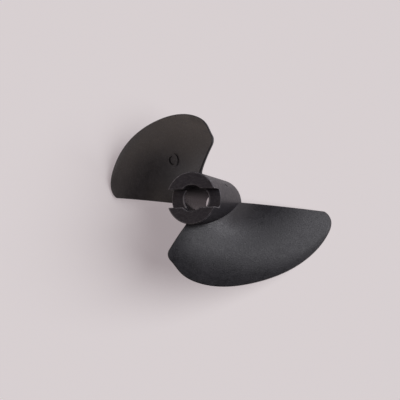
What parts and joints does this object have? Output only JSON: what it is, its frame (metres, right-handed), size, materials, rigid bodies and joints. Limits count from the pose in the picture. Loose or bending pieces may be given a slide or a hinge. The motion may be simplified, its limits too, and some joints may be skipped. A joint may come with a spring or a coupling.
{
  "type": "model boat propeller",
  "caption": "Left-handed surface-drive propeller with swept blades, a tapered hub, a through bore and a drive-dog slot across its forward face.",
  "frame": {"origin": "centre of the bore on the hub's aft face", "axes": "+Z along the hub axis towards the slotted drive face, +X along the drive slot; blades lie half a turn apart about +Z"},
  "size_m": [0.0442, 0.0324, 0.0166],
  "materials": {
    "hub_nylon": "satin black glass-filled nylon",
    "blade_nylon": "satin black glass-filled nylon"
  },
  "bodies": {
    "root": {"hub": "hub_nylon", "blade_a": "blade_nylon", "blade_b": "blade_nylon"}
  },
  "joints": []
}
